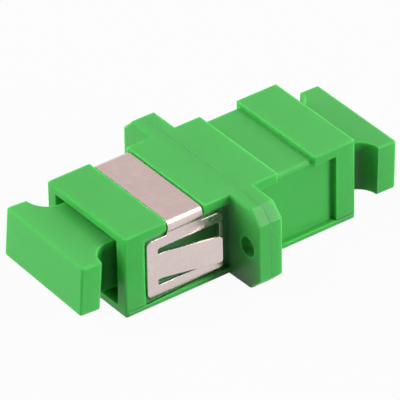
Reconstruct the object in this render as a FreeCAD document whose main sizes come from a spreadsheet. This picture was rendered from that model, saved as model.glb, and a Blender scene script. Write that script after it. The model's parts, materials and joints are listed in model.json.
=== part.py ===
"""SC simplex adapter with flange, panel clip and two dust caps.

Frame: X along the optical axis, the clipped front half towards -X; Y across
the flange; Z up, with the underside of the housing on Z = 0. Millimetres.
"""

import FreeCAD, Part
import os

import Sketcher
from FreeCAD import Placement, Rotation, Vector

doc = FreeCAD.newDocument("sc_adapter")

# ---------------------------------------------------------------- driving dimensions

DIMENSIONS = [
    # housing half, measured from the joint between the two halves
    ("half_length", 14.0),
    ("body_width", 12.8),
    ("body_height", 9.3),
    ("rim_height", 0.7),
    ("rim_step", 0.08),
    ("rim_root", 0.3),
    ("edge_round", 0.25),
    ("seam_chamfer", 0.03),
    ("base_round", 0.2),
    # flange and its screw holes
    ("flange_half", 1.45),
    ("flange_span", 22.2),
    ("flange_corner", 1.4),
    ("hole_pitch", 18.4),
    ("hole_dia", 2.2),
    # groove for the clip band, over the top and down to the side recess
    ("groove_start", 4.45),
    ("groove_length", 4.5),
    ("groove_depth", 0.5),
    ("groove_inset", 0.4),
    ("groove_round", 0.5),
    # side recess that takes the clip plates
    ("mouth_collar", 2.35),
    ("recess_depth", 0.65),
    ("recess_top_wall", 1.1),
    # pocket behind each clip tongue, as a share of the wall left beside the cavity
    ("tongue_pocket_share", 0.62),
    # plug cavity and keyway
    ("cavity_width", 9.1),
    ("cavity_height", 7.5),
    ("lead_in", 0.5),
    ("key_width", 3.1),
    ("key_stop", 4.5),
    # inner latch insert
    ("seat_side_lip", 0.7),
    ("seat_end_lip", 0.35),
    ("seat_depth", 1.25),
    ("seat_gap", 0.05),
    ("barrel_wall", 0.75),
    ("lip_length", 0.8),
    ("lip_gap", 0.2),
    ("lip_lead", 0.25),
    ("arm_gap", 0.65),
    ("arm_thickness", 0.9),
    ("arm_height", 2.6),
    ("arm_reach", 8.0),
    ("hook_depth", 0.6),
    ("hook_length", 1.1),
    ("hook_back", 0.25),
    ("arm_root_round", 0.4),
    # alignment sleeve
    ("ferrule_dia", 2.5),
    ("sleeve_wall", 0.35),
    ("sleeve_length", 11.4),
    ("sleeve_slit", 0.6),
    ("sleeve_float", 0.1),
    # panel clip, one folded sheet
    ("sheet", 0.3),
    ("band_rear_gap", 0.1),
    ("band_front_gap", 0.2),
    ("bend_round", 0.8),
    ("plate_back_gap", 0.03),
    ("jog_drop", 0.13),
    ("jog_rise", 0.4),
    ("jog_round", 0.4),
    ("plate_rear_gap", 0.6),
    ("plate_front_gap", 0.5),
    ("plate_bottom_gap", 0.1),
    ("plate_top_gap", 0.75),
    ("plate_corner", 0.6),
    ("window_front_bar", 1.3),
    ("window_rear_bar", 0.4),
    ("window_top_bar", 1.15),
    ("slot_width", 0.65),
    ("tongue_height", 3.0),
    ("tongue_end_gap", 0.62),
    ("tongue_spring", 1.4),
    ("tongue_root", 0.7),
    ("tongue_lap", 0.5),
    ("tongue_bend", 2.5),
    ("tongue_corner", 0.35),
    # dust cap
    ("cap_width", 12.7),
    ("cap_play", 0.95),
    ("cap_head", 2.3),
    ("cap_neck", 2.85),
    ("cap_scoop", 2.3),
    ("scoop_land", 0.05),
    ("plug_side_gap", 0.6),
    ("plug_end_gap", 0.6),
    ("plug_chamfer", 0.5),
    ("core_wall", 0.85),
    ("core_skin", 0.5),
    ("core_depth", 7.0),
    ("grip_clearance", 0.1),
    ("grip_dia", 1.6),
    ("grip_height", 3.0),
    ("grip_place", 2.6),
    ("cap_round", 0.3),
    # how the caps sit in their play, front then rear: ride is the share of the play taken up
    ("front_cap_ride", 0.5),
    ("front_cap_tilt", 3.3),
    ("front_cap_roll", 1.7),
    ("rear_cap_ride", -0.32),
    ("rear_cap_tilt", 1.5),
    ("rear_cap_roll", 0.0),
]

sheet = doc.addObject("Spreadsheet::Sheet", "dims")
for row, (alias, number) in enumerate(DIMENSIONS, start=1):
    sheet.set(f"A{row}", alias)
    sheet.set(f"B{row}", str(number))
    sheet.setAlias(f"B{row}", alias)
doc.recompute()

HALF_WIDTH = "dims.body_width / 2"
HALF_SPAN = "dims.flange_span / 2"
AXIS = "dims.body_height / 2"
GROOVE_END = "dims.groove_start + dims.groove_length"
RECESS_END = "(dims.half_length - dims.mouth_collar)"
RECESS_TOP = "dims.body_height - dims.recess_top_wall"
RECESS_FLOOR = "dims.body_width / 2 - dims.recess_depth"
NECK_INNER = "dims.body_width / 2 - dims.groove_inset"
NECK_OUTER = NECK_INNER + " + dims.sheet"
PLATE_INNER = RECESS_FLOOR + " + dims.plate_back_gap"
PLATE_OUTER = PLATE_INNER + " + dims.sheet"
PLATE_FRONT = f"({RECESS_END} - dims.plate_front_gap)"
PLATE_REAR = "(dims.flange_half + dims.plate_rear_gap)"
PLATE_LOW = "(dims.rim_height + dims.plate_bottom_gap)"
PLATE_HIGH = f"({RECESS_TOP} - dims.plate_top_gap)"
WINDOW_FRONT = f"({PLATE_FRONT} - dims.window_front_bar)"
WINDOW_REAR = f"({PLATE_REAR} + dims.window_rear_bar)"
WINDOW_HIGH = f"({PLATE_HIGH} - dims.window_top_bar)"
TONGUE_LOW = f"({WINDOW_HIGH} - dims.slot_width - dims.tongue_height)"
WINDOW_LOW = f"({TONGUE_LOW} - dims.slot_width)"
BAND_UNDER = "dims.body_height - dims.groove_depth"
BAND_TOP = BAND_UNDER + " + dims.sheet"
SEAT_WIDTH = "(dims.cavity_width + 2 * dims.seat_side_lip)"
SEAT_HEIGHT = "(dims.cavity_height + 2 * dims.seat_end_lip)"
SLEEVE_DIA = "(dims.ferrule_dia + 2 * dims.sleeve_wall)"
BORE_DIA = f"({SLEEVE_DIA} + 2 * dims.sleeve_float)"
BARREL_DIA = f"({BORE_DIA} + 2 * dims.barrel_wall)"
CAP_HEIGHT = "(dims.cavity_height - 2 * dims.cap_play)"
PLUG_WIDTH = "(dims.cavity_width - 2 * dims.plug_side_gap)"
PLUG_DEPTH = "(dims.half_length - dims.arm_reach - dims.plug_end_gap)"
CUT_CLEAR = "dims.body_width / 2 + 1"
TOP_CLEAR = "dims.body_height + 1"
SMALL = 1e-4


def cell(alias):
    """A driving dimension as a number."""
    return float(sheet.get(alias))


# ---------------------------------------------------------------- sketch and feature helpers


def new_body(name):
    body = doc.addObject("PartDesign::Body", name)
    body.Label = name
    return body


def sketch_on(body, name, role, offset="0"):
    """An empty sketch on one of the body's own origin planes, moved out along its normal."""
    sketch = body.newObject("Sketcher::SketchObject", name)
    plane = [feature for feature in body.Origin.OriginFeatures if feature.Role == role][0]
    sketch.AttachmentSupport = [(plane, "")]
    sketch.MapMode = "FlatFace"
    sketch.setExpression("AttachmentOffset.Base.z", offset)
    return sketch


def pin_point(sketch, geometry, position, across, up, start):
    """Ties one sketch point to a pair of expressions."""
    for kind, axis, expression, value in (
        ("DistanceX", -2, across, start.x),
        ("DistanceY", -1, up, start.y),
    ):
        if expression == "0":
            sketch.addConstraint(Sketcher.Constraint("PointOnObject", geometry, position, axis))
        else:
            index = sketch.addConstraint(
                Sketcher.Constraint(kind, -1, 1, geometry, position, value)
            )
            sketch.setExpression(f"Constraints[{index}]", expression)


def add_outline(sketch, corners):
    """A closed outline of straight edges through corners given as expression pairs."""
    first = sketch.GeometryCount
    count = len(corners)
    starts = [
        Rotation(Vector(0, 0, 1), 360.0 * k / count + 10).multVec(Vector(5, 0, 0))
        for k in range(count)
    ]
    for k in range(count):
        sketch.addGeometry(Part.LineSegment(starts[k], starts[(k + 1) % count]), False)
    for k in range(count):
        sketch.addConstraint(
            Sketcher.Constraint("Coincident", first + k, 2, first + (k + 1) % count, 1)
        )
    for k, (across, up) in enumerate(corners):
        pin_point(sketch, first + k, 1, across, up, starts[k])


def add_box(sketch, low_across, high_across, low_up, high_up):
    add_outline(
        sketch,
        [
            (low_across, low_up),
            (high_across, low_up),
            (high_across, high_up),
            (low_across, high_up),
        ],
    )


def add_circle(sketch, across, up, diameter):
    start = Vector(1, 1, 0)
    index = sketch.addGeometry(Part.Circle(start, Vector(0, 0, 1), 1), False)
    pin_point(sketch, index, 3, across, up, start)
    size = sketch.addConstraint(Sketcher.Constraint("Diameter", index, 2.0))
    sketch.setExpression(f"Constraints[{size}]", diameter)


def pad(body, sketch, length, name):
    feature = body.newObject("PartDesign::Pad", name)
    feature.Profile = sketch
    feature.setExpression("Length", length)
    doc.recompute()
    return feature


def pocket(body, sketch, length, name):
    """Cuts along the sketch's own normal, and makes sure that it took something away."""
    before = body.Shape.Volume
    feature = body.newObject("PartDesign::Pocket", name)
    feature.Profile = sketch
    feature.Reversed = True
    feature.setExpression("Length", length)
    doc.recompute()
    if not body.Shape.Volume < before - SMALL:
        raise ValueError(f"{name} cuts nothing")
    return feature


def edges_where(body, test):
    """Names of the edges of the body's shape whose bounding box passes a test."""
    return [
        f"Edge{number}"
        for number, edge in enumerate(body.Shape.Edges, start=1)
        if test(edge.BoundBox)
    ]


def dress(body, kind, size, test, name):
    """A fillet or chamfer on the chosen edges of what the body holds so far."""
    chosen = edges_where(body, test)
    if not chosen:
        raise ValueError(f"{name} finds no edge")
    feature = body.newObject("PartDesign::" + kind, name)
    feature.Base = (body.Tip if body.Tip != feature else feature.BaseFeature, chosen)
    feature.setExpression("Radius" if kind == "Fillet" else "Size", size)
    doc.recompute()
    return feature


def near(value, target):
    return abs(value - target) < 1e-3


# ---------------------------------------------------------------- housing half


def housing_half(name, turned, clipped):
    """One moulded half: flange, plug cavity, keyway, clip groove and side recesses.

    The half that takes the clip also has a pocket behind each tongue.
    """
    body = new_body(name)

    flange = sketch_on(body, name + "_flange_outline", "YZ_Plane")
    corner_out = HALF_SPAN + " - dims.flange_corner"
    corner_up = "dims.body_height - dims.flange_corner"
    add_outline(
        flange,
        [
            (f"-({corner_out})", "0"),
            (corner_out, "0"),
            (HALF_SPAN, "dims.flange_corner"),
            (HALF_SPAN, corner_up),
            (corner_out, "dims.body_height"),
            (f"-({corner_out})", "dims.body_height"),
            (f"-({HALF_SPAN})", corner_up),
            (f"-({HALF_SPAN})", "dims.flange_corner"),
        ],
    )
    pad(body, flange, "dims.flange_half", name + "_flange")

    shell = sketch_on(body, name + "_shell_outline", "YZ_Plane")
    add_box(shell, f"-({HALF_WIDTH})", HALF_WIDTH, "0", "dims.body_height")
    pad(body, shell, "dims.half_length", name + "_shell")

    groove = sketch_on(body, name + "_groove_outline", "YZ_Plane", "dims.groove_start")
    add_outline(
        groove,
        [
            (f"-({CUT_CLEAR})", RECESS_TOP),
            (f"-({CUT_CLEAR})", TOP_CLEAR),
            (CUT_CLEAR, TOP_CLEAR),
            (CUT_CLEAR, RECESS_TOP),
            (NECK_INNER, RECESS_TOP),
            (NECK_INNER, BAND_UNDER),
            (f"-({NECK_INNER})", BAND_UNDER),
            (f"-({NECK_INNER})", RECESS_TOP),
        ],
    )
    pocket(body, groove, "dims.groove_length", name + "_clip_groove")

    recess = sketch_on(body, name + "_recess_outline", "YZ_Plane", "dims.flange_half")
    add_box(recess, RECESS_FLOOR, CUT_CLEAR, "dims.rim_height", RECESS_TOP)
    add_box(recess, f"-({CUT_CLEAR})", f"-({RECESS_FLOOR})", "dims.rim_height", RECESS_TOP)
    pocket(body, recess, RECESS_END + " - dims.flange_half", name + "_side_recess")

    cavity = sketch_on(body, name + "_cavity_outline", "YZ_Plane")
    add_box(
        cavity,
        "-dims.cavity_width / 2",
        "dims.cavity_width / 2",
        AXIS + " - dims.cavity_height / 2",
        AXIS + " + dims.cavity_height / 2",
    )
    pocket(body, cavity, "dims.half_length", name + "_plug_cavity")

    if clipped:
        behind = sketch_on(body, name + "_tongue_pocket_outline", "YZ_Plane", WINDOW_REAR)
        wall = f"({RECESS_FLOOR} - dims.cavity_width / 2)"
        floor = f"({RECESS_FLOOR} - dims.tongue_pocket_share * {wall})"
        add_box(behind, floor, HALF_WIDTH, WINDOW_LOW, WINDOW_HIGH)
        add_box(behind, f"-({HALF_WIDTH})", f"-{floor}", WINDOW_LOW, WINDOW_HIGH)
        pocket(body, behind, f"{WINDOW_FRONT} - {WINDOW_REAR}", name + "_tongue_pockets")

    seat = sketch_on(body, name + "_seat_outline", "YZ_Plane")
    add_box(
        seat,
        f"-{SEAT_WIDTH} / 2",
        f"{SEAT_WIDTH} / 2",
        f"{AXIS} - {SEAT_HEIGHT} / 2",
        f"{AXIS} + {SEAT_HEIGHT} / 2",
    )
    pocket(body, seat, "dims.seat_depth", name + "_insert_seat")

    keyway = sketch_on(body, name + "_key_outline", "YZ_Plane", "dims.key_stop")
    add_box(keyway, "-dims.key_width / 2", "dims.key_width / 2", "-1", AXIS)
    pocket(body, keyway, "dims.half_length - dims.key_stop", name + "_keyway")

    holes = sketch_on(body, name + "_hole_outline", "YZ_Plane")
    add_circle(holes, "dims.hole_pitch / 2", AXIS, "dims.hole_dia")
    add_circle(holes, "-dims.hole_pitch / 2", AXIS, "dims.hole_dia")
    pocket(body, holes, "dims.flange_half", name + "_screw_holes")

    mouth = cell("half_length")
    half_cavity = cell("cavity_width") / 2
    dress(
        body,
        "Chamfer",
        "dims.lead_in",
        lambda box: near(box.XMin, mouth)
        and near(box.XMax, mouth)
        and near(abs(box.Center.y), half_cavity)
        and box.YLength < SMALL,
        name + "_lead_in",
    )

    neck_inner = cell("body_width") / 2 - cell("groove_inset")
    band_under = cell("body_height") - cell("groove_depth")
    dress(
        body,
        "Fillet",
        "dims.groove_round",
        lambda box: near(abs(box.Center.y), neck_inner)
        and near(box.ZMin, band_under)
        and near(box.ZMax, band_under)
        and box.YLength < SMALL,
        name + "_groove_corner",
    )

    half_width = cell("body_width") / 2
    height = cell("body_height")
    groove_end = cell("groove_start") + cell("groove_length")

    def outer_edge(box):
        along_top = (
            near(box.ZMin, height)
            and near(box.ZMax, height)
            and near(abs(box.Center.y), half_width)
            and box.YLength < SMALL
            and box.XLength > 1
        )
        upright_at_mouth = (
            near(box.XMin, mouth)
            and near(box.XMax, mouth)
            and box.YLength < SMALL
            and near(abs(box.Center.y), half_width)
            and box.ZLength > 1
        )
        across_mouth = (
            near(box.XMin, mouth)
            and near(box.XMax, mouth)
            and near(box.ZMin, height)
            and box.YLength > 1
        )
        collar_corner = (
            near(box.XMin, groove_end)
            and near(box.XMax, groove_end)
            and near(abs(box.Center.y), half_width)
            and box.YLength < SMALL
        )
        return along_top or upright_at_mouth or across_mouth or collar_corner

    dress(body, "Fillet", "dims.edge_round", outer_edge, name + "_outer_edges")

    flange_face = cell("flange_half")
    half_span = cell("flange_span") / 2

    def flange_rim(box):
        outside = abs(box.Center.y) > half_width + SMALL
        return outside and near(box.XMin, flange_face) and near(box.XMax, flange_face) and (
            near(box.ZMax, height) and box.ZLength < SMALL
            or box.ZLength > 1
            and (box.YMax > half_span - SMALL or box.YMin < -half_span + SMALL)
        )

    dress(body, "Fillet", "dims.edge_round", flange_rim, name + "_flange_edges")

    def base_edge(box):
        on_base = near(box.ZMin, 0) and near(box.ZMax, 0)
        along_side = near(abs(box.Center.y), half_width) and box.YLength < SMALL
        across_mouth = near(box.XMin, mouth) and near(box.XMax, mouth)
        return on_base and (along_side or across_mouth)

    dress(body, "Fillet", "dims.base_round", base_edge, name + "_base_edges")

    rim = sketch_on(body, name + "_rim_outline", "YZ_Plane", "dims.flange_half")
    rim_in, rim_out = f"({HALF_WIDTH} - dims.rim_root)", f"({HALF_WIDTH} + dims.rim_step)"
    add_box(rim, rim_in, rim_out, "dims.base_round", "dims.rim_height")
    add_box(rim, f"-{rim_out}", f"-{rim_in}", "dims.base_round", "dims.rim_height")
    pad(body, rim, "dims.half_length - dims.flange_half - dims.edge_round", name + "_rim")

    def seam_edge(box):
        on_seam = near(box.XMin, 0) and near(box.XMax, 0)
        outside = abs(box.Center.y) > half_width or near(box.Center.z, height) or near(box.Center.z, 0)
        round_hole = near(box.YLength, cell("hole_dia"))
        return on_seam and outside and not round_hole

    dress(body, "Chamfer", "dims.seam_chamfer", seam_edge, name + "_seam")

    if turned:
        body.Placement = Placement(Vector(0, 0, 0), Rotation(Vector(0, 0, 1), 180))
    return body


# ---------------------------------------------------------------- inner latch insert


def latch_insert(name, turned):
    """Base plate, sleeve barrel and two hooked latch arms, moulded as one."""
    body = new_body(name)

    base = sketch_on(body, name + "_base_outline", "YZ_Plane")
    half_base = SEAT_WIDTH + " / 2 - dims.seat_gap"
    half_rise = SEAT_HEIGHT + " / 2 - dims.seat_gap"
    add_box(
        base, f"-({half_base})", half_base, f"{AXIS} - ({half_rise})", f"{AXIS} + {half_rise}"
    )
    pad(body, base, "dims.seat_depth - dims.seat_gap", name + "_base")

    sleeve_half = "dims.sleeve_length / 2 + dims.sleeve_float"
    barrel = sketch_on(body, name + "_barrel_outline", "YZ_Plane")
    add_circle(barrel, "0", AXIS, BARREL_DIA)
    pad(body, barrel, sleeve_half + " + dims.lip_length", name + "_barrel")

    arm_in = f"({BARREL_DIA} / 2 + dims.arm_gap)"
    arm_out = f"({arm_in} + dims.arm_thickness)"
    hook_in = f"({arm_in} - dims.hook_depth)"
    arms = sketch_on(
        body, name + "_arm_outline", "XY_Plane", f"{AXIS} - dims.arm_height / 2"
    )
    for sign in ("", "-"):
        add_outline(
            arms,
            [
                ("0.2", sign + arm_in),
                ("dims.arm_reach - dims.hook_length", sign + arm_in),
                ("dims.arm_reach - dims.hook_length + dims.hook_back", sign + hook_in),
                ("dims.arm_reach - dims.hook_length / 2", sign + hook_in),
                ("dims.arm_reach", sign + arm_in),
                ("dims.arm_reach", sign + arm_out),
                ("0.2", sign + arm_out),
            ],
        )
    pad(body, arms, "dims.arm_height", name + "_arms")

    bore = sketch_on(body, name + "_bore_outline", "YZ_Plane")
    add_circle(bore, "0", AXIS, BORE_DIA)
    pocket(body, bore, sleeve_half, name + "_sleeve_bore")

    lip = sketch_on(body, name + "_lip_outline", "YZ_Plane")
    add_circle(lip, "0", AXIS, "dims.ferrule_dia + 2 * dims.lip_gap")
    pocket(body, lip, sleeve_half + " + dims.lip_length + 1", name + "_lip")

    # openings in the base plate under the hooks, which let the mould form their backs
    windows = sketch_on(body, name + "_window_outline", "YZ_Plane")
    low, high = f"{AXIS} - dims.arm_height / 2", f"{AXIS} + dims.arm_height / 2"
    add_box(windows, hook_in, arm_in, low, high)
    add_box(windows, f"-{arm_in}", f"-{hook_in}", low, high)
    pocket(body, windows, "dims.seat_depth", name + "_hook_windows")

    tip = cell("sleeve_length") / 2 + cell("sleeve_float") + cell("lip_length")
    dress(
        body,
        "Chamfer",
        "dims.lip_lead",
        lambda box: near(box.XMin, tip) and near(box.XMax, tip),
        name + "_barrel_tip",
    )
    base_face = cell("seat_depth") - cell("seat_gap")
    arm_outside = (
        cell("ferrule_dia") / 2
        + cell("sleeve_wall")
        + cell("sleeve_float")
        + cell("barrel_wall")
        + cell("arm_gap")
        + cell("arm_thickness")
    )
    dress(
        body,
        "Fillet",
        "dims.arm_root_round",
        lambda box: near(box.XMin, base_face)
        and near(box.XMax, base_face)
        and near(abs(box.Center.y), arm_outside)
        and box.ZLength > 1
        and box.ZLength < cell("arm_height") + SMALL,
        name + "_arm_roots",
    )

    if turned:
        body.Placement = Placement(Vector(0, 0, 0), Rotation(Vector(0, 0, 1), 180))
    return body


# ---------------------------------------------------------------- alignment sleeve


def alignment_sleeve(name):
    """Split ceramic tube that lines the two ferrules up."""
    body = new_body(name)
    start = "-dims.sleeve_length / 2"
    outside = sketch_on(body, name + "_outside", "YZ_Plane", start)
    add_circle(outside, "0", AXIS, SLEEVE_DIA)
    pad(body, outside, "dims.sleeve_length", name + "_tube")
    inside = sketch_on(body, name + "_inside", "YZ_Plane", start)
    add_circle(inside, "0", AXIS, "dims.ferrule_dia")
    pocket(body, inside, "dims.sleeve_length", name + "_bore")
    slit = sketch_on(body, name + "_slit_outline", "YZ_Plane", start)
    add_box(slit, "-dims.sleeve_slit / 2", "dims.sleeve_slit / 2", AXIS, AXIS + " + dims.ferrule_dia")
    pocket(body, slit, "dims.sleeve_length", name + "_slit")
    return body


# ---------------------------------------------------------------- panel clip


def panel_clip(name):
    """One sheet folded over the front half, with a sprung tongue cut in each side plate."""
    body = new_body(name)
    front = "-" + PLATE_FRONT
    rear = "-" + PLATE_REAR
    band_rear = "-(dims.groove_start + dims.band_rear_gap)"
    band_front = f"-({GROOVE_END} - dims.band_front_gap)"

    fold = sketch_on(body, name + "_fold", "YZ_Plane", front)
    jog_high = f"({RECESS_TOP} - dims.jog_drop)"
    jog_low = f"({jog_high} - dims.jog_rise)"
    add_outline(
        fold,
        [
            (f"-({PLATE_OUTER})", PLATE_LOW),
            (f"-({PLATE_OUTER})", jog_low),
            (f"-({NECK_OUTER})", jog_high),
            (f"-({NECK_OUTER})", BAND_TOP),
            (NECK_OUTER, BAND_TOP),
            (NECK_OUTER, jog_high),
            (PLATE_OUTER, jog_low),
            (PLATE_OUTER, PLATE_LOW),
            (PLATE_INNER, PLATE_LOW),
            (PLATE_INNER, jog_low),
            (NECK_INNER, jog_high),
            (NECK_INNER, BAND_UNDER),
            (f"-({NECK_INNER})", BAND_UNDER),
            (f"-({NECK_INNER})", jog_high),
            (f"-({PLATE_INNER})", jog_low),
            (f"-({PLATE_INNER})", PLATE_LOW),
        ],
    )
    pad(body, fold, f"{rear} - {front}", name + "_sheet")

    neck_outer = cell("body_width") / 2 - cell("groove_inset") + cell("sheet")
    band_top = cell("body_height") - cell("groove_depth") + cell("sheet")
    for side, inset, size in (
        ("outer", 0.0, "dims.bend_round"),
        ("inner", cell("sheet"), "dims.bend_round - dims.sheet"),
    ):
        dress(
            body,
            "Fillet",
            size,
            lambda box, inset=inset: box.XLength > 1
            and near(abs(box.Center.y), neck_outer - inset)
            and near(box.Center.z, band_top - inset)
            and box.YLength < SMALL
            and box.ZLength < SMALL,
            f"{name}_{side}_bend",
        )

    jog_top = cell("body_height") - cell("recess_top_wall") - cell("jog_drop")
    dress(
        body,
        "Fillet",
        "dims.jog_round",
        lambda box: box.XLength > 1
        and box.ZLength < SMALL
        and (near(box.Center.z, jog_top - cell("jog_rise")) or near(box.Center.z, jog_top)),
        name + "_jog_bends",
    )

    # XZ sketches look along +Y, so a cut along their normal starts on the +Y side
    shoulders = sketch_on(body, name + "_shoulder_outline", "XZ_Plane", f"-({CUT_CLEAR})")
    add_box(shoulders, f"{front} - 1", band_front, PLATE_HIGH, TOP_CLEAR)
    add_box(shoulders, band_rear, f"{rear} + 1", PLATE_HIGH, TOP_CLEAR)
    pocket(body, shoulders, f"2 * ({CUT_CLEAR})", name + "_shoulders")

    window = sketch_on(body, name + "_window_outline", "XZ_Plane", f"-({CUT_CLEAR})")
    add_box(window, "-" + WINDOW_FRONT, "-" + WINDOW_REAR, WINDOW_LOW, WINDOW_HIGH)
    pocket(body, window, f"2 * ({CUT_CLEAR})", name + "_window")

    plate_front = cell("plate_front_gap") + cell("mouth_collar") - cell("half_length")
    plate_rear = -cell("flange_half") - cell("plate_rear_gap")
    opening_front = plate_front + cell("window_front_bar")
    opening_rear = plate_rear - cell("window_rear_bar")
    low = cell("rim_height") + cell("plate_bottom_gap")
    high = cell("body_height") - cell("recess_top_wall") - cell("plate_top_gap")

    def across_sheet(box):
        return box.XLength < SMALL and box.ZLength < SMALL and near(box.YLength, cell("sheet"))

    dress(
        body,
        "Fillet",
        "dims.plate_corner",
        lambda box: across_sheet(box)
        and (near(box.Center.x, plate_front) or near(box.Center.x, plate_rear))
        and (near(box.Center.z, low) or near(box.Center.z, high)),
        name + "_plate_corners",
    )
    dress(
        body,
        "Fillet",
        "dims.slot_width / 2 - 0.01",
        lambda box: across_sheet(box)
        and (near(box.Center.x, opening_front) or near(box.Center.x, opening_rear))
        and low < box.Center.z < high,
        name + "_window_corners",
    )

    # the tongues: flat at the root, then sprung outwards towards the flange
    tongue_end = f"-({WINDOW_REAR} + dims.tongue_end_gap)"
    tongue_start = f"-({WINDOW_FRONT} + dims.tongue_lap)"
    root = f"-({WINDOW_FRONT} - dims.tongue_root)"
    for side, sign in (("left", ""), ("right", "-")):
        inner = f"{sign}({PLATE_INNER})"
        outer = f"{sign}({PLATE_OUTER})"
        sprung = f"{sign}({PLATE_INNER} + dims.tongue_spring)"
        sprung_out = f"{sign}({PLATE_OUTER} + dims.tongue_spring)"
        tongue = sketch_on(body, f"{name}_{side}_tongue_outline", "XY_Plane", TONGUE_LOW)
        add_outline(
            tongue,
            [
                (tongue_start, inner),
                (root, inner),
                (tongue_end, sprung),
                (tongue_end, sprung_out),
                (root, outer),
                (tongue_start, outer),
            ],
        )
        pad(body, tongue, "dims.tongue_height", f"{name}_{side}_tongue")

    end = plate_rear - cell("window_rear_bar") - cell("tongue_end_gap")
    bend = opening_front + cell("tongue_root")
    dress(
        body,
        "Fillet",
        "dims.tongue_bend",
        lambda box: near(box.XMin, bend) and near(box.XMax, bend) and box.ZLength > 1,
        name + "_tongue_bends",
    )
    dress(
        body,
        "Fillet",
        "dims.tongue_corner",
        lambda box: near(box.XMin, end)
        and near(box.XMax, end)
        and box.ZLength < SMALL
        and box.YLength < 2 * cell("sheet"),
        name + "_tongue_corners",
    )
    return body


# ---------------------------------------------------------------- dust cap


def dust_cap(name, turned, ride, tilt, roll):
    """Pull-out cap: head, scooped neck and a cored plug; its origin is on the mouth plane."""
    body = new_body(name)
    head_face = "dims.cap_neck + dims.cap_head"
    half_plug = f"({PLUG_WIDTH} / 2)"
    plug_end = f"-{PLUG_DEPTH}"
    plug_shoulder = f"{plug_end} + dims.plug_chamfer"
    plan = sketch_on(body, name + "_plan", "XY_Plane", f"-{CAP_HEIGHT} / 2")
    add_outline(
        plan,
        [
            (plug_end, f"-({half_plug} - dims.plug_chamfer)"),
            (plug_shoulder, f"-{half_plug}"),
            ("dims.cap_neck", f"-{half_plug}"),
            ("dims.cap_neck", "-dims.cap_width / 2"),
            (head_face, "-dims.cap_width / 2"),
            (head_face, "dims.cap_width / 2"),
            ("dims.cap_neck", "dims.cap_width / 2"),
            ("dims.cap_neck", half_plug),
            (plug_shoulder, half_plug),
            (plug_end, f"{half_plug} - dims.plug_chamfer"),
        ],
    )
    pad(body, plan, CAP_HEIGHT, name + "_prism")

    neck = cell("cap_neck")
    half_neck = cell("cavity_width") / 2 - cell("plug_side_gap")
    dress(
        body,
        "Fillet",
        f"min(dims.cap_scoop; dims.cap_width / 2 - {half_plug} - dims.scoop_land)",
        lambda box: near(box.Center.x, neck)
        and near(abs(box.Center.y), half_neck)
        and box.ZLength > 1,
        name + "_scoops",
    )

    grips = sketch_on(body, name + "_grip_outline", "XY_Plane", "-dims.grip_height / 2")
    reach = "(dims.cavity_width / 2 - dims.grip_clearance - dims.grip_dia / 2)"
    add_circle(grips, "-dims.grip_place", reach, "dims.grip_dia")
    add_circle(grips, "-dims.grip_place", "-" + reach, "dims.grip_dia")
    pad(body, grips, "dims.grip_height", name + "_grips")

    core = sketch_on(body, name + "_core_outline", "YZ_Plane", plug_end)
    core_side = f"({half_plug} - dims.core_wall)"
    core_rise = f"({CAP_HEIGHT} / 2 - dims.core_skin)"
    add_box(core, f"-{core_side}", core_side, f"-{core_rise}", core_rise)
    pocket(body, core, "dims.core_depth", name + "_core")

    outer_face = neck + cell("cap_head")
    half_cap = cell("cap_width") / 2
    dress(
        body,
        "Fillet",
        "dims.cap_round",
        lambda box: (near(box.XMin, outer_face) and near(box.XMax, outer_face))
        or (
            near(box.YMin, box.YMax)
            and near(abs(box.Center.y), half_cap)
            and near(box.XMin, neck)
            and box.XLength > 1
        ),
        name + "_head_edges",
    )

    outward = Rotation(Vector(0, 0, 1), 180 if turned else 0)
    tipped = Rotation(Vector(0, 1, 0), cell(tilt)) * Rotation(Vector(1, 0, 0), cell(roll))
    mouth = -cell("half_length") if turned else cell("half_length")
    height = cell("body_height") / 2 + cell(ride) * cell("cap_play")
    body.Placement = Placement(Vector(mouth, 0, height), tipped * outward)
    return body


# ---------------------------------------------------------------- build, check and write

pieces = [
    housing_half("front_housing", True, True),
    housing_half("rear_housing", False, False),
    latch_insert("front_latch_insert", True),
    latch_insert("rear_latch_insert", False),
    alignment_sleeve("alignment_sleeve"),
    panel_clip("panel_clip"),
    dust_cap("front_dust_cap", True, "front_cap_ride", "front_cap_tilt", "front_cap_roll"),
    dust_cap("rear_dust_cap", False, "rear_cap_ride", "rear_cap_tilt", "rear_cap_roll"),
]
doc.recompute()

for item in doc.Objects:
    if "Invalid" in item.State or "Error" in item.State:
        raise RuntimeError(f"{item.Label} failed: {item.State}")
for piece in pieces:
    if piece.Shape.isNull() or not piece.Shape.isValid() or len(piece.Shape.Solids) != 1:
        raise RuntimeError(f"{piece.Label} has no single valid solid")

os.makedirs("parts", exist_ok=True)
for piece in pieces:
    piece.Shape.exportStep(f"parts/{piece.Label}.step")
    box = piece.Shape.BoundBox
    print(
        f"{piece.Label}: {piece.Shape.Volume:.2f} mm3, "
        f"X {box.XMin:.2f} to {box.XMax:.2f}, Y {box.YMin:.2f} to {box.YMax:.2f}, "
        f"Z {box.ZMin:.2f} to {box.ZMax:.2f}"
    )
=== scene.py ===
"""Looks of the flanged SC adapter: moulded green halves, folded steel clip and dust caps."""

import json
import math
from contextlib import contextmanager

import bmesh
import bpy
from mathutils import Matrix, Vector

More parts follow.
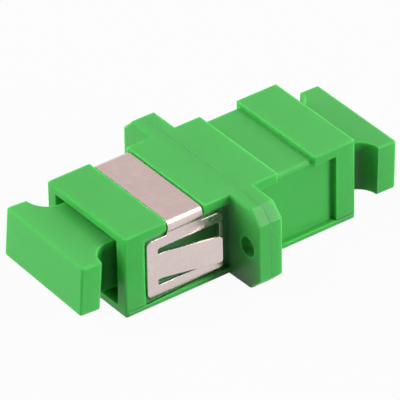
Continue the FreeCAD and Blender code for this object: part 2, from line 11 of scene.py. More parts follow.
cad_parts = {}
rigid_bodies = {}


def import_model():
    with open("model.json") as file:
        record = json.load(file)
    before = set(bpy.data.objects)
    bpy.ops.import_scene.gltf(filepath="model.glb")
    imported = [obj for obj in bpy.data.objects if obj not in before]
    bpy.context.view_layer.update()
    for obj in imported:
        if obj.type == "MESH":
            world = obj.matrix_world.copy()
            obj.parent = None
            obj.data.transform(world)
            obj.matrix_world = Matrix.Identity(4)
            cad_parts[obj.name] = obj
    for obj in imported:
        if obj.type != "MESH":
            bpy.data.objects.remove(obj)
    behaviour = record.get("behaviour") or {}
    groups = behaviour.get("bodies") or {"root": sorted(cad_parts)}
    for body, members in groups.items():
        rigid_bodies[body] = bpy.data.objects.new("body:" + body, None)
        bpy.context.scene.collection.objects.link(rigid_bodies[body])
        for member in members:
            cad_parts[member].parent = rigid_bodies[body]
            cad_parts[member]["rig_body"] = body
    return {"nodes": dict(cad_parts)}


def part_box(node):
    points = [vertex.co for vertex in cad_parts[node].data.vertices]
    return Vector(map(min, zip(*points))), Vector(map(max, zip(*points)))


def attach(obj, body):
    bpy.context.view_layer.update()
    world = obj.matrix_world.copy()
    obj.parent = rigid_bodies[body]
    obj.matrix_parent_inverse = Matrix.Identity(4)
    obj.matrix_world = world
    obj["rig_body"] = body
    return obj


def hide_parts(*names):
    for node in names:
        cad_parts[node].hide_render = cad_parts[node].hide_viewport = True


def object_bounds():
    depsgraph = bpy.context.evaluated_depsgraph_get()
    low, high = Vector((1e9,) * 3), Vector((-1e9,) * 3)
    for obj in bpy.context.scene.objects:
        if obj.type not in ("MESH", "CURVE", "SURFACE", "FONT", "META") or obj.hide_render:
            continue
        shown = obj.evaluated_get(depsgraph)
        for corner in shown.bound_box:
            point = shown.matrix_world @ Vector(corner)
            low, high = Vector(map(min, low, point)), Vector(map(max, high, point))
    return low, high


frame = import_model()
cad_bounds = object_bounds()

MM = 0.001


def in_mm(*lengths):
    """Lengths written in millimetres, as the metres of the frame."""
    return tuple(length * MM for length in lengths)


# viewpoint: a long lens, looking down on the clipped end; the azimuth and elevation are in
# degrees, the lens and its sensor in millimetres, and the reach in metres
VIEW_AZIMUTH = -36.075
VIEW_ELEVATION = 34.490
VIEW_ROLL = math.radians(-1.098)
VIEW_DISTANCE = 582.36 * MM
VIEW_LENS = 535.3
VIEW_SENSOR = 36
VIEW_REACH = 10
VIEW_AIM = Vector((-0.449, -0.211, 4.873)) * MM

# square lamps, their size and distance in metres: name, bearing and height in degrees, power in
# watts, and whether gloss shows the lamp; it shows only the last, because the others would burn
# out the steel and the tops
LAMP_SIZE = 0.27
LAMP_DISTANCE = 0.6
LAMPS = (
    ("left_high", -135, 45, 2.0, False),
    ("left_low", -135, 12, 2.65, False),
    ("right_low", 35, 12, 2.3, False),
    ("right_end", 105, 10, 2.4, False),
    ("right_high", 90, 45, 0.2, False),
    ("front_high", 42, 42, 1.65, True),
)

# surroundings: the white walls turn into the ceiling between two heights on a sphere of radius
# 1; the floor glows for the eye while it sheds only a grey light, lies just below the object, and
# reaches this many times the object's span
CEILING = (0.83, 0.74, 0.73, 1)
WALL_TOP = 0.08
CEILING_START = 0.45
FLOOR_GREY = (0.5, 0.5, 0.5, 1)
FLOOR_GLOW = 0.95
FLOOR_DROP = 0.02 * MM
FLOOR_SPREAD = 60

# places on the housings and the caps that the finishes follow
BODY_HALF = 6.4 * MM
MOUTH_COLLAR = 2.35 * MM
MOUTH_WIDTH = 9.1 * MM
RIM_HEIGHT = 0.4 * MM
FLANGE_HALF = 1.45 * MM
NECK_LENGTH = 2.85 * MM

# the plug cavities: painted shade, kept inside the base and the top, and reaching a little into
# the side walls
CAVITY_SHADE = (0.42, 0.42, 0.42)
CAVITY_SPILL = 0.25 * MM
CAVITY_SHELL = 0.6 * MM
CAVITY_FADE = in_mm(1.5, 0.2, 0.2)

# the clip's pocket: a painted grey cast for the steel's reflection and the shade there, between
# the mouth collar and the flange
POCKET_PAINTED_CAST = (2.6, 1.1, 2.4)
POCKET_SKIN = 0.04 * MM
POCKET_SPILL = 0.1 * MM
POCKET_STOP = 0.35 * MM
POCKET_FOOT = 0.35 * MM
POCKET_FADE = in_mm(0.15, 0.5, 0.3)

# the root of the flange: a soft shade just ahead of its front face and just behind it
ROOT_SHADE = (1.6, 0.85, 1.6)
ROOT_AHEAD = 0.65 * MM
ROOT_BEHIND = 0.45 * MM
ROOT_SPREAD = 1.34 * MM
ROOT_FOOT = 0.2 * MM
ROOT_FADE = in_mm(0.4, 1.3, 0.6)

# painted shade on the necks of the caps, kept below their top faces
NECK_SHADE = (0.56, 0.56, 0.56)
NECK_STOP = 0.25 * MM
NECK_MARGIN = 1 * MM
NECK_TOP = 0.55 * MM
NECK_FADE = in_mm(0.6, 1, 1)

# the split sleeve inside the barrels, laid along the plug axis
SLEEVE_WALL = 0.35 * MM
SLEEVE_SLIT = 0.6 * MM
SLEEVE_STEPS = 72
ALONG_AXIS = Matrix(((0, 0, 1), (1, 0, 0), (0, 1, 0)))

# how far the sharp edges of each kind of piece are broken, and which edges count as sharp
MOULD_EDGE = 0.07 * MM
SHEET_EDGE = 0.06 * MM
CERAMIC_EDGE = 0.05 * MM
EDGE_SEGMENTS = 2
SHARP_ANGLE = math.radians(28)
JOINT_LINE = 0.12 * MM

# points this close are merged, faces this nearly level with each other are joined, and faces
# that turn less than this shade together
MERGE_DISTANCE = 0.0005 * MM
FLAT_ANGLE = math.radians(0.4)
SMOOTH_COSINE = math.cos(math.radians(50))

# the moulded skin: how large its marks are along each axis, and how far they change its colour,
# its roughness and its relief
FLOW_SIZE = 4.5 * MM
FLOW_STRETCH = (1.6, 1, 1)
FLOW_TONES = (0.93, 1.07)
FLOW_RELIEF = 0.9
CLOUD_SIZE = 0.9 * MM
CLOUD_TONES = (0.965, 1.035)
CLOUD_ROUGHNESS = 0.16
GRAIN_SIZE = 0.07 * MM
# a painted highlight along the open edges: how wide it spreads and how strong it is
HIGHLIGHT_RADIUS = 0.35 * MM
HIGHLIGHT_GAIN = 3.4
# painted shade in holes and tight corners: how far it looks for cover, and the cover over which
# it fades
SHADE_REACH = 2.5 * MM
SHADE_RANGE = (0.03, 0.5)
MASK_SAMPLES = 6

# the rolled steel: the same for its streaks, blotches and specks, and its two colours
STREAK_SIZE = 0.10 * MM
STREAK_STRETCH = (0.7, 14, 14)
STREAK_TONES = (0.93, 1.06)
BLOTCH_SIZE = 1.1 * MM
BLOTCH_TONES = (0.92, 1.08)
BLOTCH_ROUGHNESS = 0.25
SPECK_SIZE = 0.16 * MM
SPECK_TONES = (0.965, 1.035)

CLIP_STEEL = (0.70, 0.58, 0.60, 1)
WARM_STEEL = (0.71, 0.62, 0.55, 1)

# the sleeve's ceramic
ZIRCONIA = (0.86, 0.85, 0.81, 1)

# depth of the relief in each kind of material
PLASTIC_RELIEF = 0.004 * MM
STEEL_RELIEF = 0.002 * MM
CERAMIC_RELIEF = 0.001 * MM

# pigmented plastic that lets a little light through its edges
PLASTIC = {
    "IOR": 1.49,
    "Specular IOR Level": 0.36,
    "Subsurface Weight": 1.0,
    "Subsurface Radius": (0.3, 1.0, 0.35),
    "Subsurface Scale": 1.2 * MM,
}

# each green moulding's colour, roughness, grain, painted edge highlight, painted crevice shade
# and strength of relief
PLASTIC_FINISHES = {
    "green_housing": ((0.068, 0.48, 0.090, 1), 0.42, 0.5, 0.6, 0.9, 0.35),
    "cap_green": ((0.080, 0.52, 0.104, 1), 0.46, 0.7, 0.6, 0.9, 0.4),
    # the rear cap's green is the caps' green painted darker: painted shade for the shadow that
    # the far collar casts on it
    "rear_cap_green_shaded": ((0.070, 0.46, 0.092, 1), 0.46, 0.7, 0.6, 0.9, 0.4),
    "insert_plastic": ((0.05, 0.42, 0.07, 1), 0.5, 0.8, 0.2, 0.3, 0.4),
}

# CAD node, piece, slot, material and broken edge: first what the sleeve sits in, then the rest
HOUSING_PIECES = (
    ("front_housing", "front_half", "green_housing", "green_housing", MOULD_EDGE),
    ("rear_housing", "rear_half", "green_housing", "green_housing", MOULD_EDGE),
    ("front_latch_insert", "front_latches", "insert_plastic", "insert_plastic", MOULD_EDGE),
    ("rear_latch_insert", "rear_latches", "insert_plastic", "insert_plastic", MOULD_EDGE),
)
FITTED_PIECES = (
    ("panel_clip", "folded_clip", "clip_steel", "clip_steel", SHEET_EDGE),
    ("front_dust_cap", "front_cap_moulding", "cap_green", "cap_green", MOULD_EDGE),
    ("rear_dust_cap", "rear_cap_moulding", "cap_green", "rear_cap_green_shaded", MOULD_EDGE),
)

# a Mix node's colour sockets, whose names are shared by its other kinds
MIX_FIRST = 6
MIX_SECOND = 7
MIX_RESULT = 2


# ---------------------------------------------------------------- nodes


def new_group(name, inputs, outputs):
    """A shader node group, its inputs given as (name, kind, default)."""
    tree = bpy.data.node_groups.new(name, "ShaderNodeTree")
    for label, kind, default in inputs:
        socket = tree.interface.new_socket(name=label, in_out="INPUT", socket_type=kind)
        socket.default_value = default
    for label, kind in outputs:
        tree.interface.new_socket(name=label, in_out="OUTPUT", socket_type=kind)
    return tree, tree.nodes.new("NodeGroupInput"), tree.nodes.new("NodeGroupOutput")


def add_node(tree, kind, **settings):
    node = tree.nodes.new(kind)
    for key, value in settings.items():
        setattr(node, key, value)
    return node


def feed(tree, value, socket):
    """Sets a socket to a number, or links it to another node's output."""
    if isinstance(value, (int, float)):
        socket.default_value = value
    else:
        tree.links.new(value, socket)


def set_values(node, values):
    for socket, value in values.items():
        node.inputs[socket].default_value = value


def math_node(tree, operation, *values, clamp=False):
    node = add_node(tree, "ShaderNodeMath", operation=operation, use_clamp=clamp)
    for value, socket in zip(values, node.inputs):
        feed(tree, value, socket)
    return node.outputs[0]


def vector_node(tree, operation, first, second):
    node = add_node(tree, "ShaderNodeVectorMath", operation=operation)
    tree.links.new(first, node.inputs[0])
    tree.links.new(second, node.inputs[1])
    return node


def noise_node(tree, place, size, detail=2.0, stretch=(1, 1, 1)):
    """Noise whose features are about the given size across, in metres."""
    mapping = add_node(tree, "ShaderNodeMapping")
    mapping.inputs["Scale"].default_value = [1 / (size * factor) for factor in stretch]
    tree.links.new(place, mapping.inputs["Vector"])
    noise = add_node(tree, "ShaderNodeTexNoise")
    set_values(noise, {"Scale": 1.0, "Detail": detail})
    tree.links.new(mapping.outputs[0], noise.inputs["Vector"])
    return noise.outputs["Fac"]


def multiplied(tree, colour, by, share=1.0):
    """A colour multiplied by a grey or a second colour, in full or by a share."""
    mix = add_node(tree, "ShaderNodeMix", data_type="RGBA", blend_type="MULTIPLY")
    feed(tree, share, mix.inputs["Factor"])
    tree.links.new(colour, mix.inputs[MIX_FIRST])
    tree.links.new(by, mix.inputs[MIX_SECOND])
    return mix.outputs[MIX_RESULT]


def toned(tree, colour, amount, tones):
    """A colour multiplied by a grey that runs between two tones with amount."""
    span = add_node(tree, "ShaderNodeMapRange")
    set_values(span, {"To Min": tones[0], "To Max": tones[1]})
    tree.links.new(amount, span.inputs["Value"])
    return multiplied(tree, colour, span.outputs[0])


def uneven(tree, roughness, noise, spread):
    """A roughness that wanders with noise, by half the spread either way."""
    change = math_node(tree, "MULTIPLY", math_node(tree, "SUBTRACT", noise, 0.5), spread)
    return math_node(tree, "ADD", roughness, change, clamp=True)


def painted_shade_mask(tree):
    """Runs from 0 deep in a hole or tight corner of the piece to 1 out in the open; it sets where
    shade is painted.
    """
    hollow = add_node(tree, "ShaderNodeAmbientOcclusion", samples=MASK_SAMPLES, only_local=True)
    hollow.inputs["Distance"].default_value = SHADE_REACH
    span = add_node(tree, "ShaderNodeMapRange", interpolation_type="SMOOTHSTEP")
    set_values(span, {"From Min": SHADE_RANGE[0], "From Max": SHADE_RANGE[1]})
    tree.links.new(hollow.outputs["AO"], span.inputs["Value"])
    return span.outputs[0]


def painted_highlight_mask(tree):
    """Runs from 0 on the flats to about 1 on the crest of a square edge; it sets where a
    highlight is painted.
    """
    softened = add_node(tree, "ShaderNodeBevel", samples=MASK_SAMPLES)
    softened.inputs["Radius"].default_value = HIGHLIGHT_RADIUS
    true_normal = add_node(tree, "ShaderNodeNewGeometry").outputs["Normal"]
    facing = vector_node(tree, "DOT_PRODUCT", softened.outputs[0], true_normal)
    turn = math_node(tree, "SUBTRACT", 1.0, facing.outputs["Value"])
    return math_node(tree, "MULTIPLY", turn, HIGHLIGHT_GAIN, clamp=True)


def seen_mask(tree):
    """1 for what the eye, gloss or glass sees directly, and 0 for the light that it sheds."""
    light_path = add_node(tree, "ShaderNodeLightPath").outputs
    seen = math_node(tree, "MAXIMUM", light_path["Is Camera Ray"], light_path["Is Glossy Ray"])
    return math_node(tree, "MAXIMUM", seen, light_path["Is Transmission Ray"])


# ---------------------------------------------------------------- shader node groups

SKIN_OUTPUTS = [
    ("Colour", "NodeSocketColor"),
    ("Roughness", "NodeSocketFloat"),
    ("Height", "NodeSocketFloat"),
]


def moulded_skin_group():
    """Injection-moulded surface: flow mottling, fine grain, painted edge highlights, painted
    crevice shade.
    """
    tree, given, result = new_group(
        "moulded_skin",
        [
            ("Colour", "NodeSocketColor", (0.5, 0.5, 0.5, 1)),
            ("Roughness", "NodeSocketFloat", 0.35),
            ("Grain", "NodeSocketFloat", 1.0),
            ("Painted Highlight", "NodeSocketFloat", 0.4),
            ("Painted Shade", "NodeSocketFloat", 0.4),
        ],
        SKIN_OUTPUTS,
    )
    place = add_node(tree, "ShaderNodeTexCoord").outputs["Object"]
    flow = noise_node(tree, place, FLOW_SIZE, detail=3.0, stretch=FLOW_STRETCH)
    cloud = noise_node(tree, place, CLOUD_SIZE, detail=4.0)
    grain = noise_node(tree, place, GRAIN_SIZE)
    colour = toned(tree, given.outputs["Colour"], flow, FLOW_TONES)
    colour = toned(tree, colour, cloud, CLOUD_TONES)
    # painted shade in holes and tight corners, and a painted highlight on the edges out in the
    # open, both multiplied into the colour
    open_air = painted_shade_mask(tree)
    crest = math_node(tree, "MULTIPLY", painted_highlight_mask(tree), open_air)
    crest = math_node(tree, "MULTIPLY", crest, given.outputs["Painted Highlight"])
    deep = math_node(tree, "SUBTRACT", 1.0, open_air)
    deep = math_node(tree, "MULTIPLY", deep, given.outputs["Painted Shade"])
    light = math_node(tree, "SUBTRACT", math_node(tree, "ADD", crest, 1.0), deep)
    tree.links.new(multiplied(tree, colour, light), result.inputs["Colour"])
    rough = uneven(tree, given.outputs["Roughness"], cloud, CLOUD_ROUGHNESS)
    tree.links.new(rough, result.inputs["Roughness"])
    fine = math_node(tree, "MULTIPLY", grain, given.outputs["Grain"])
    wave = math_node(tree, "MULTIPLY", flow, FLOW_RELIEF)
    tree.links.new(math_node(tree, "ADD", fine, wave), result.inputs["Height"])
    return tree


def rolled_steel_group():
    """Cold-rolled strip: streaks along the rolling direction, warm mottling, fine specks."""
    tree, given, result = new_group(
        "rolled_steel",
        [
            ("Colour", "NodeSocketColor", (0.6, 0.6, 0.6, 1)),
            ("Warm", "NodeSocketColor", (0.66, 0.56, 0.50, 1)),
            ("Roughness", "NodeSocketFloat", 0.3),
        ],
        SKIN_OUTPUTS,
    )
    place = add_node(tree, "ShaderNodeTexCoord").outputs["Object"]
    streak = noise_node(tree, place, STREAK_SIZE, detail=3.0, stretch=STREAK_STRETCH)
    blotch = noise_node(tree, place, BLOTCH_SIZE, detail=5.0)
    speck = noise_node(tree, place, SPECK_SIZE)
    warm = add_node(tree, "ShaderNodeMix", data_type="RGBA")
    tree.links.new(blotch, warm.inputs["Factor"])
    tree.links.new(given.outputs["Colour"], warm.inputs[MIX_FIRST])
    tree.links.new(given.outputs["Warm"], warm.inputs[MIX_SECOND])
    colour = toned(tree, warm.outputs[MIX_RESULT], streak, STREAK_TONES)
    colour = toned(tree, colour, speck, SPECK_TONES)
    colour = toned(tree, colour, blotch, BLOTCH_TONES)
    tree.links.new(colour, result.inputs["Colour"])
    rough = uneven(tree, given.outputs["Roughness"], blotch, BLOTCH_ROUGHNESS)
    tree.links.new(rough, result.inputs["Roughness"])
    tree.links.new(math_node(tree, "ADD", streak, speck), result.inputs["Height"])
    return tree


def painted_shade_zone_group():
    """Paints shade into a boxed part of a piece by a tint that fades in softly from the box's
    sides.
    """
    tree, given, result = new_group(
        "painted_shade_zone",
        [
            ("Colour", "NodeSocketColor", (0.5, 0.5, 0.5, 1)),
            ("Low", "NodeSocketVector", (-0.01, -0.01, -0.01)),
            ("High", "NodeSocketVector", (0.01, 0.01, 0.01)),
            ("Fade", "NodeSocketVector", (0.001, 0.001, 0.001)),
            ("Tint", "NodeSocketColor", (0.5, 0.5, 0.5, 1)),
        ],
        [("Colour", "NodeSocketColor")],
    )
    place = add_node(tree, "ShaderNodeTexCoord").outputs["Object"]
    depths = []
    for first, second in ((place, given.outputs["Low"]), (given.outputs["High"], place)):
        inside = vector_node(tree, "SUBTRACT", first, second)
        share = vector_node(tree, "DIVIDE", inside.outputs[0], given.outputs["Fade"])
        parts = add_node(tree, "ShaderNodeSeparateXYZ")
        tree.links.new(share.outputs[0], parts.inputs[0])
        depths += parts.outputs[:3]
    amount = depths[0]
    for depth in depths[1:]:
        amount = math_node(tree, "MINIMUM", amount, depth)
    span = add_node(tree, "ShaderNodeMapRange", interpolation_type="SMOOTHSTEP")
    tree.links.new(amount, span.inputs["Value"])
    tinted = multiplied(tree, given.outputs["Colour"], given.outputs["Tint"], span.outputs[0])
    tree.links.new(tinted, result.inputs["Colour"])
    return tree


# ---------------------------------------------------------------- materials


def surface_material(name, group, values, constants, relief, strength):
    """A Principled material whose colour, roughness and bump come from a node group."""
    material = bpy.data.materials.new(name)
    material.use_nodes = True
    tree = material.node_tree
    shader = tree.nodes["Principled BSDF"]
    set_values(shader, constants)
    skin = add_node(tree, "ShaderNodeGroup", node_tree=group)
    set_values(skin, values)
    tree.links.new(skin.outputs["Colour"], shader.inputs["Base Color"])
    tree.links.new(skin.outputs["Roughness"], shader.inputs["Roughness"])
    bump = add_node(tree, "ShaderNodeBump")
    set_values(bump, {"Distance": relief, "Strength": strength})
    tree.links.new(skin.outputs["Height"], bump.inputs["Height"])
    tree.links.new(bump.outputs["Normal"], shader.inputs["Normal"])
    return material


def make_materials():
    """The four green plastics, the clip's steel and the sleeve's ceramic, by name."""
    skin = moulded_skin_group()
    labels = ("Colour", "Roughness", "Grain", "Painted Highlight", "Painted Shade")
    made = {}
    for name, (*looks, strength) in PLASTIC_FINISHES.items():
        values = dict(zip(labels, looks))
        made[name] = surface_material(name, skin, values, PLASTIC, PLASTIC_RELIEF, strength)
    made["clip_steel"] = surface_material(
        "clip_steel",
        rolled_steel_group(),
        {"Colour": CLIP_STEEL, "Warm": WARM_STEEL, "Roughness": 0.27},
        {"Metallic": 1.0},
        STEEL_RELIEF,
        0.5,
    )
    made["ceramic"] = surface_material(
        "ceramic",
        skin,
        {"Colour": ZIRCONIA, "Roughness": 0.18, "Grain": 0.2, "Painted Highlight": 0.0, "Painted Shade": 0.2},
        {"IOR": 2.1},
        CERAMIC_RELIEF,
        0.2,
    )
    return made


def shade_box(material, group, low, high, fade, tint):
    """Passes a material's colour through a tint of the box between two corners, which paints
    shade there.
    """
    tree = material.node_tree
    zone = add_node(tree, "ShaderNodeGroup", node_tree=group)
    set_values(zone, {"Low": low, "High": high, "Fade": fade, "Tint": (*tint, 1)})
    base = tree.nodes["Principled BSDF"].inputs["Base Color"]
    tree.links.new(base.links[0].from_socket, zone.inputs["Colour"])
    tree.links.new(zone.outputs["Colour"], base)


def paint_shade_places(materials):
    """Paints shade into the plug cavities, a grey cast into the clip's pocket, and shade at the
    flange root and on the cap necks.
    """
    group = painted_shade_zone_group()
    green = materials["green_housing"]
    low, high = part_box("front_housing")
    mouth = -low.x
    rim = high.z - RIM_HEIGHT
    plug_side = MOUTH_WIDTH / 2 + CAVITY_SPILL
    # painted shade in the plug cavities
    shade_box(
        green,
        group,
        (-mouth, -plug_side, CAVITY_SHELL),
        (mouth, plug_side, high.z - CAVITY_SHELL),
        CAVITY_FADE,
        CAVITY_SHADE,
    )
    side = BODY_HALF - POCKET_SKIN
    # a painted grey cast in the clip's pocket, for the steel's reflection and the shade there
    shade_box(
        green,
        group,
        (MOUTH_COLLAR - mouth - POCKET_SPILL, -side, POCKET_FOOT),
        (-FLANGE_HALF - POCKET_STOP, side, rim),
        POCKET_FADE,
        POCKET_PAINTED_CAST,
    )
    shade_box(
        green,
        group,
        (-FLANGE_HALF - ROOT_AHEAD, -side - ROOT_SPREAD, ROOT_FOOT),
        (-FLANGE_HALF + ROOT_BEHIND, side + ROOT_SPREAD, rim),
        ROOT_FADE,
        ROOT_SHADE,
    )
    neck_end = mouth + NECK_LENGTH - NECK_STOP
    # painted shade on the caps' necks, fading up towards their top faces
    for node, finish in (("front_dust_cap", "cap_green"), ("rear_dust_cap", "rear_cap_green_shaded")):
        low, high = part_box(node)
        shade_box(
            materials[finish],
            group,
            (max(low.x, -neck_end), low.y - NECK_MARGIN, low.z - NECK_MARGIN),
            (min(high.x, neck_end), high.y + NECK_MARGIN, high.z - NECK_TOP),
            NECK_FADE,
            NECK_SHADE,
        )


# ---------------------------------------------------------------- finishing the pieces


@contextmanager
def reshaped(mesh):
    """The mesh opened for editing, and written back at the end."""
    form = bmesh.new()
    form.from_mesh(mesh)
    yield form
    form.to_mesh(mesh)
    form.free()


def link_object(name, content):
    """A new object in the scene that holds a mesh, a lamp or a camera."""
    made = bpy.data.objects.new(name, content)
    bpy.context.scene.collection.objects.link(made)
    return made


def clean_copy(node, name):
    """A merged copy of a CAD node with its flat faces whole again."""
    mesh = node.data.copy()
    mesh.materials.clear()
    with reshaped(mesh) as form:
        bmesh.ops.remove_doubles(form, verts=form.verts, dist=MERGE_DISTANCE)
        bmesh.ops.dissolve_limit(form, angle_limit=FLAT_ANGLE, verts=form.verts, edges=form.edges)
        for face in form.faces:
            face.smooth = True
    return link_object(name, mesh)


def mark_sharp_edges(mesh, keep):
    """Gives every sharp edge that passes the keep test a full bevel weight."""
    with reshaped(mesh) as form:
        weight = form.edges.layers.float.new("bevel_weight_edge")
        for edge in form.edges:
            if len(edge.link_faces) == 2 and edge.calc_face_angle() > SHARP_ANGLE and keep(edge):
                edge[weight] = 1.0


def away_from_joint(edge):
    """True unless the edge is part of the fine line between the two halves."""
    return any(abs(vertex.co.x) > JOINT_LINE for vertex in edge.verts)


def settle_normals(mesh):
    """Shades each corner by the faces around its vertex, the large flats counting most."""
    around = [[] for _ in mesh.vertices]
    for face in mesh.polygons:
        for vertex in face.vertices:
            around[vertex].append(face)
    normals = []
    for face in mesh.polygons:
        for vertex in face.vertices:
            total = Vector()
            for other in around[vertex]:
                if other.normal.dot(face.normal) > SMOOTH_COSINE:
                    total += other.normal * other.area
            normals.append(total.normalized() if total.length > 0 else face.normal)
    mesh.normals_split_custom_set(normals)


def settled_mesh(piece):
    """The piece's mesh with its modifiers carried out; they are then removed."""
    bpy.context.view_layer.update()
    graph = bpy.context.evaluated_depsgraph_get()
    mesh = bpy.data.meshes.new_from_object(piece.evaluated_get(graph))
    piece.modifiers.clear()
    return mesh


def break_edges(piece, width):
    """Rounds the marked edges inside the piece's own box and settles the shading."""
    places = [vertex.co for vertex in piece.data.vertices]
    low = [min(place[axis] for place in places) for axis in range(3)]
    high = [max(place[axis] for place in places) for axis in range(3)]
    bevel = piece.modifiers.new("edge_break", "BEVEL")
    bevel.width = width
    bevel.segments = EDGE_SEGMENTS
    bevel.limit_method = "WEIGHT"
    bevel.use_clamp_overlap = False
    bevel.miter_outer = "MITER_SHARP"
    piece.data = settled_mesh(piece)
    for vertex in piece.data.vertices:
        for axis in range(3):
            vertex.co[axis] = min(max(vertex.co[axis], low[axis]), high[axis])
    piece.data.update()
    settle_normals(piece.data)


def finished_piece(node, name, material, width):
    """Replaces a CAD node with a copy that has broken edges and its material."""
    piece = clean_copy(frame["nodes"][node], name)
    mark_sharp_edges(piece.data, away_from_joint)
    break_edges(piece, width)
    piece.data.materials.append(material)
    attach(piece, frame["nodes"][node]["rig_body"])
    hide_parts(node)


def split_tube_tree():
    """Geometry nodes: a wall section swept along an arc that stops short at the slit."""
    tree = bpy.data.node_groups.new("split_tube", "GeometryNodeTree")
    for label, kind in (
        ("Length", "NodeSocketFloat"),
        ("Radius", "NodeSocketFloat"),
        ("Wall", "NodeSocketFloat"),
        ("Slit", "NodeSocketFloat"),
        ("Height", "NodeSocketFloat"),
        ("Steps", "NodeSocketInt"),
        ("Finish", "NodeSocketMaterial"),
    ):
        tree.interface.new_socket(name=label, in_out="INPUT", socket_type=kind)
    tree.interface.new_socket(name="Geometry", in_out="OUTPUT", socket_type="NodeSocketGeometry")
    given = tree.nodes.new("NodeGroupInput").outputs
    half_wall = math_node(tree, "DIVIDE", given["Wall"], 2.0)
    middle = math_node(tree, "SUBTRACT", given["Radius"], half_wall)
    half_slit = math_node(tree, "DIVIDE", given["Slit"], 2.0)
    half_angle = math_node(tree, "ARCSINE", math_node(tree, "DIVIDE", half_slit, middle))
    start = math_node(tree, "ADD", half_angle, math.pi / 2)
    turn = math_node(tree, "MULTIPLY_ADD", half_angle, -2.0, 2 * math.pi)
    arc = add_node(tree, "GeometryNodeCurveArc", mode="RADIUS")
    for source, socket in (
        (given["Steps"], "Resolution"),
        (middle, "Radius"),
        (start, "Start Angle"),
        (turn, "Sweep Angle"),
    ):
        tree.links.new(source, arc.inputs[socket])
    section = add_node(tree, "GeometryNodeCurvePrimitiveQuadrilateral", mode="RECTANGLE")
    tree.links.new(given["Wall"], section.inputs["Width"])
    tree.links.new(given["Length"], section.inputs["Height"])
    sweep = add_node(tree, "GeometryNodeCurveToMesh")
    tree.links.new(arc.outputs["Curve"], sweep.inputs["Curve"])
    tree.links.new(section.outputs["Curve"], sweep.inputs["Profile Curve"])
    sweep.inputs["Fill Caps"].default_value = True
    lift = add_node(tree, "ShaderNodeCombineXYZ")
    tree.links.new(given["Height"], lift.inputs["Z"])
    laid = add_node(tree, "GeometryNodeTransform")
    laid.inputs["Rotation"].default_value = ALONG_AXIS.to_euler()
    tree.links.new(sweep.outputs["Mesh"], laid.inputs["Geometry"])
    tree.links.new(lift.outputs[0], laid.inputs["Translation"])
    real = add_node(tree, "GeometryNodeRealizeInstances")
    tree.links.new(laid.outputs["Geometry"], real.inputs["Geometry"])
    finish = add_node(tree, "GeometryNodeSetMaterial")
    tree.links.new(real.outputs["Geometry"], finish.inputs["Geometry"])
    tree.links.new(given["Finish"], finish.inputs["Material"])
    output = tree.nodes.new("NodeGroupOutput")
    tree.links.new(finish.outputs["Geometry"], output.inputs["Geometry"])
    return tree


def split_sleeve(material):
    """The ceramic sleeve, swept by geometry nodes into the place of its CAD node."""
    low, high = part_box("alignment_sleeve")
    piece = link_object("split_sleeve", bpy.data.meshes.new("split_sleeve"))
    tree = split_tube_tree()
    values = {
        "Length": high.x - low.x,
        "Radius": (high.y - low.y) / 2,
        "Wall": SLEEVE_WALL,
        "Slit": SLEEVE_SLIT,
        "Height": low.z + (high.y - low.y) / 2,
        "Steps": SLEEVE_STEPS,
        "Finish": material,
    }
    sweep = piece.modifiers.new("split_tube", "NODES")
    sweep.node_group = tree
    for socket in tree.interface.items_tree:
        if socket.name in values:
            sweep[socket.identifier] = values[socket.name]
    piece.data = settled_mesh(piece)
    with reshaped(piece.data) as form:
        bmesh.ops.remove_doubles(form, verts=form.verts, dist=MERGE_DISTANCE)
        bmesh.ops.recalc_face_normals(form, faces=form.faces)
        for face in form.faces:
            face.smooth = True
    mark_sharp_edges(piece.data, lambda edge: True)
    break_edges(piece, CERAMIC_EDGE)
    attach(piece, frame["nodes"]["alignment_sleeve"]["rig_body"])
    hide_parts("alignment_sleeve")


# ---------------------------------------------------------------- floor, light and camera


def make_floor(box_low, box_high):
    """A plain white table under the object that keeps its soft shadow."""
    mesh = bpy.data.meshes.new("table")
    with reshaped(mesh) as form:
        spread = FLOOR_SPREAD * (box_high - box_low).length
        bmesh.ops.create_grid(form, x_segments=1, y_segments=1, size=spread)
    floor = link_object("table", mesh)
    floor.location.z = box_low.z - FLOOR_DROP
    material = bpy.data.materials.new("table_white")
    material.use_nodes = True
    tree = material.node_tree
    shader = tree.nodes["Principled BSDF"]
    set_values(shader, {"Base Color": FLOOR_GREY, "Roughness": 0.9, "Specular IOR Level": 0.0})
    glow = add_node(tree, "ShaderNodeEmission")
    set_values(glow, {"Color": (1, 1, 1, 1), "Strength": 1.0})
    mix = add_node(tree, "ShaderNodeMixShader")
    tree.links.new(math_node(tree, "MULTIPLY", seen_mask(tree), FLOOR_GLOW), mix.inputs[0])
    tree.links.new(shader.outputs[0], mix.inputs[1])
    tree.links.new(glow.outputs[0], mix.inputs[2])
    tree.links.new(mix.outputs[0], tree.nodes["Material Output"].inputs["Surface"])
    mesh.materials.append(material)


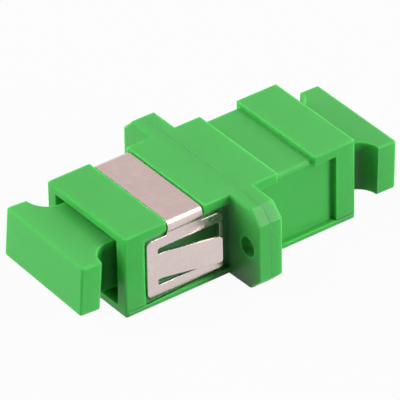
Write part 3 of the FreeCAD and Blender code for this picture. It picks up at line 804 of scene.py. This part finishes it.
def make_world():
    """Plain surroundings for the eye and for gloss: white walls, a dimmer ceiling."""
    world = bpy.data.worlds.new("white_room")
    world.use_nodes = True
    tree = world.node_tree
    upward = add_node(tree, "ShaderNodeSeparateXYZ")
    direction = add_node(tree, "ShaderNodeTexCoord").outputs["Generated"]
    tree.links.new(direction, upward.inputs[0])
    sky = add_node(tree, "ShaderNodeValToRGB")
    walls, ceiling = sky.color_ramp.elements
    walls.position, walls.color = WALL_TOP, (1, 1, 1, 1)
    ceiling.position, ceiling.color = CEILING_START, CEILING
    tree.links.new(upward.outputs["Z"], sky.inputs["Fac"])
    shader = tree.nodes["Background"]
    tree.links.new(sky.outputs["Color"], shader.inputs["Color"])
    tree.links.new(seen_mask(tree), shader.inputs["Strength"])
    bpy.context.scene.world = world


def outward(bearing, height):
    """The direction at a compass bearing and a height, both in degrees.

    Bearing 0 is out over the near flange ear, and 90 is out over the plain end.
    """
    bearing, height = math.radians(bearing), math.radians(height)
    return Vector(
        (
            math.sin(bearing) * math.cos(height),
            -math.cos(bearing) * math.cos(height),
            math.sin(height),
        )
    )


def make_lights():
    """Square soft boxes round the object, each facing it."""
    for name, bearing, height, power, glint in LAMPS:
        back = outward(bearing, height)
        lamp = bpy.data.lights.new(name, "AREA")
        lamp.shape = "SQUARE"
        lamp.size = LAMP_SIZE
        lamp.energy = power
        holder = link_object(name, lamp)
        holder.location = VIEW_AIM + back * LAMP_DISTANCE
        holder.rotation_euler = back.to_track_quat("Z", "Y").to_euler()
        holder.visible_glossy = glint


def make_camera():
    """The camera at the viewpoint, turned a little about its own axis."""
    back = outward(VIEW_AZIMUTH, VIEW_ELEVATION)
    level = Vector((0, 0, 1)).cross(back).normalized()
    upright = back.cross(level)
    right = level * math.cos(VIEW_ROLL) + upright * math.sin(VIEW_ROLL)
    up = upright * math.cos(VIEW_ROLL) - level * math.sin(VIEW_ROLL)
    turn = Matrix((right, up, back)).transposed().to_4x4()
    camera = link_object("camera", bpy.data.cameras.new("camera"))
    camera.data.lens = VIEW_LENS
    camera.data.sensor_width = VIEW_SENSOR
    camera.data.clip_end = VIEW_REACH
    camera.matrix_world = Matrix.Translation(VIEW_AIM + back * VIEW_DISTANCE) @ turn
    bpy.context.scene.camera = camera


# ---------------------------------------------------------------- the object

materials = make_materials()
paint_shade_places(materials)

for node, name, slot, finish, width in HOUSING_PIECES:
    finished_piece(node, name, materials[finish], width)
split_sleeve(materials["ceramic"])
for node, name, slot, finish, width in FITTED_PIECES:
    finished_piece(node, name, materials[finish], width)

make_floor(*(Vector(corner) for corner in cad_bounds))
make_world()
make_lights()
make_camera()
bpy.context.scene.view_settings.view_transform = "Standard"
